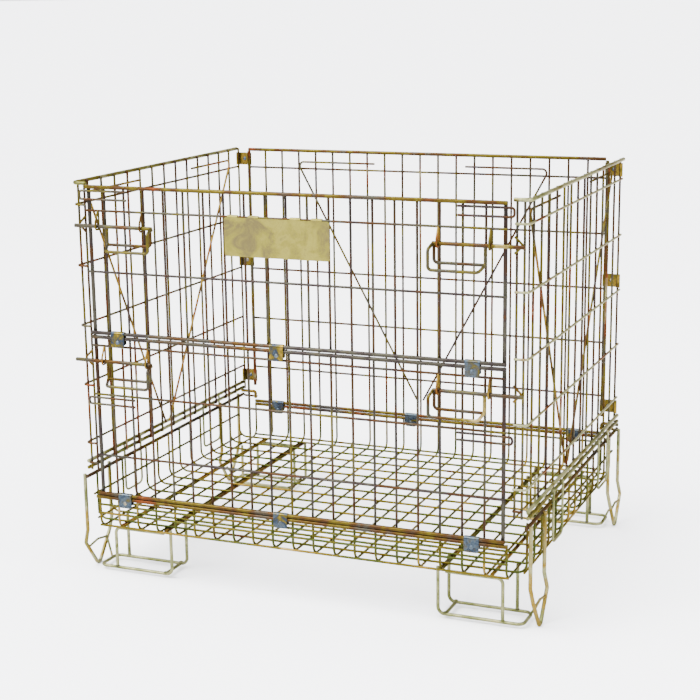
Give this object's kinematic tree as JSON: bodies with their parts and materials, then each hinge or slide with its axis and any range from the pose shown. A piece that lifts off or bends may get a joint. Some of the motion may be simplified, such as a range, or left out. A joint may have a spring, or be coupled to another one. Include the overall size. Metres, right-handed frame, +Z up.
{
  "type": "wire mesh container",
  "caption": "Folding wire mesh container on wire feet, with a front that drops in two leaves held by sliding latches, for storing and stacking goods.",
  "frame": {"origin": "on the ground, at the middle of the outer box", "axes": "+X to the right along the wide side, +Y from the drop front to the back panel, +Z up"},
  "size_m": [1, 0.7949, 0.84],
  "materials": {
    "mesh_wire": "yellow-passivated zinc, drawn wire",
    "frame_rod": "yellow-passivated zinc, golden",
    "dark_rod": "yellow-passivated zinc, brown and violet tints",
    "hinge_clip": "blue-grey zinc sheet",
    "rivet": "plain zinc",
    "latch_rod": "yellow-passivated zinc, worn bright",
    "plate": "yellow-passivated zinc sheet"
  },
  "bodies": {
    "base": {"tray_floor": "mesh_wire", "tray_front_wall": "mesh_wire", "tray_back_wall": "mesh_wire", "tray_left_wall": "mesh_wire", "tray_right_wall": "mesh_wire", "tray_rims": "dark_rod", "floor_runners": "frame_rod", "foot_front_left": "frame_rod", "foot_front_right": "frame_rod", "foot_back_left": "frame_rod", "foot_back_right": "frame_rod", "guide_front_left": "frame_rod", "guide_front_right": "frame_rod", "guide_back_left": "frame_rod", "guide_back_right": "frame_rod", "left_retaining_loops": "dark_rod", "right_retaining_loops": "dark_rod", "pivot_eyes": "frame_rod", "front_hinge_clips": "hinge_clip", "back_hinge_clips": "hinge_clip", "hinge_clip_rivets": "rivet"},
    "front_lower": {"lower_front_mesh": "mesh_wire", "lower_front_rails": "dark_rod", "mid_hinge_clips": "hinge_clip", "mid_clip_rivets": "rivet", "lower_latch_hangers": "mesh_wire", "lower_hairpins": "mesh_wire"},
    "upper_gate": {"upper_gate_mesh": "mesh_wire", "upper_gate_rails": "dark_rod", "upper_latch_hangers": "mesh_wire", "upper_hairpins": "mesh_wire", "name_plate": "plate"},
    "back_panel": {"back_mesh": "mesh_wire", "back_rails": "dark_rod", "back_braces": "frame_rod"},
    "left_side": {"left_side_mesh": "mesh_wire", "left_side_rods": "dark_rod", "left_front_return": "mesh_wire", "left_brace": "frame_rod", "left_corner_clips": "hinge_clip", "left_clip_rivets": "rivet", "left_keepers": "mesh_wire", "left_pivot_pin": "frame_rod"},
    "right_side": {"right_side_mesh": "mesh_wire", "right_side_rods": "dark_rod", "right_front_return": "mesh_wire", "right_brace": "frame_rod", "right_corner_clips": "hinge_clip", "right_clip_rivets": "rivet", "right_keepers": "mesh_wire", "right_pivot_pin": "frame_rod"},
    "upper_left_latch_rod": {"upper_left_latch": "latch_rod"},
    "upper_right_latch_rod": {"upper_right_latch": "latch_rod"},
    "lower_left_latch_rod": {"lower_left_latch": "latch_rod"},
    "lower_right_latch_rod": {"lower_right_latch": "latch_rod"}
  },
  "joints": [
    {"name": "back_fold", "type": "hinge", "parent": "base", "child": "back_panel", "pos_m": [0, 0.3842, 0.201], "axis": [-1, 0, 0], "range_deg": [-90, 0]},
    {"name": "left_side_fold", "type": "hinge", "parent": "base", "child": "left_side", "pos_m": [-0.446, 0.39075, 0.22], "axis": [0, 0, 1], "range_deg": [0, 87]},
    {"name": "right_side_fold", "type": "hinge", "parent": "base", "child": "right_side", "pos_m": [0.446, 0.39075, 0.22], "axis": [0, 0, 1], "range_deg": [-87, 0]},
    {"name": "lower_front_drop", "type": "hinge", "parent": "base", "child": "front_lower", "pos_m": [0, -0.3678, 0.1865], "axis": [1, 0, 0], "range_deg": [0, 90]},
    {"name": "upper_gate_drop", "type": "hinge", "parent": "front_lower", "child": "upper_gate", "pos_m": [0, -0.3678, 0.532], "axis": [1, 0, 0], "range_deg": [0, 155]},
    {"name": "upper_left_latch_slide", "type": "slide", "parent": "upper_gate", "child": "upper_left_latch_rod", "axis": [1, 0, 0], "range_m": [-0.013, 0.015]},
    {"name": "upper_right_latch_slide", "type": "slide", "parent": "upper_gate", "child": "upper_right_latch_rod", "axis": [-1, 0, 0], "range_m": [0, 0.028]},
    {"name": "lower_left_latch_slide", "type": "slide", "parent": "front_lower", "child": "lower_left_latch_rod", "axis": [1, 0, 0], "range_m": [0, 0.028]},
    {"name": "lower_right_latch_slide", "type": "slide", "parent": "front_lower", "child": "lower_right_latch_rod", "axis": [-1, 0, 0], "range_m": [0, 0.028]}
  ]
}
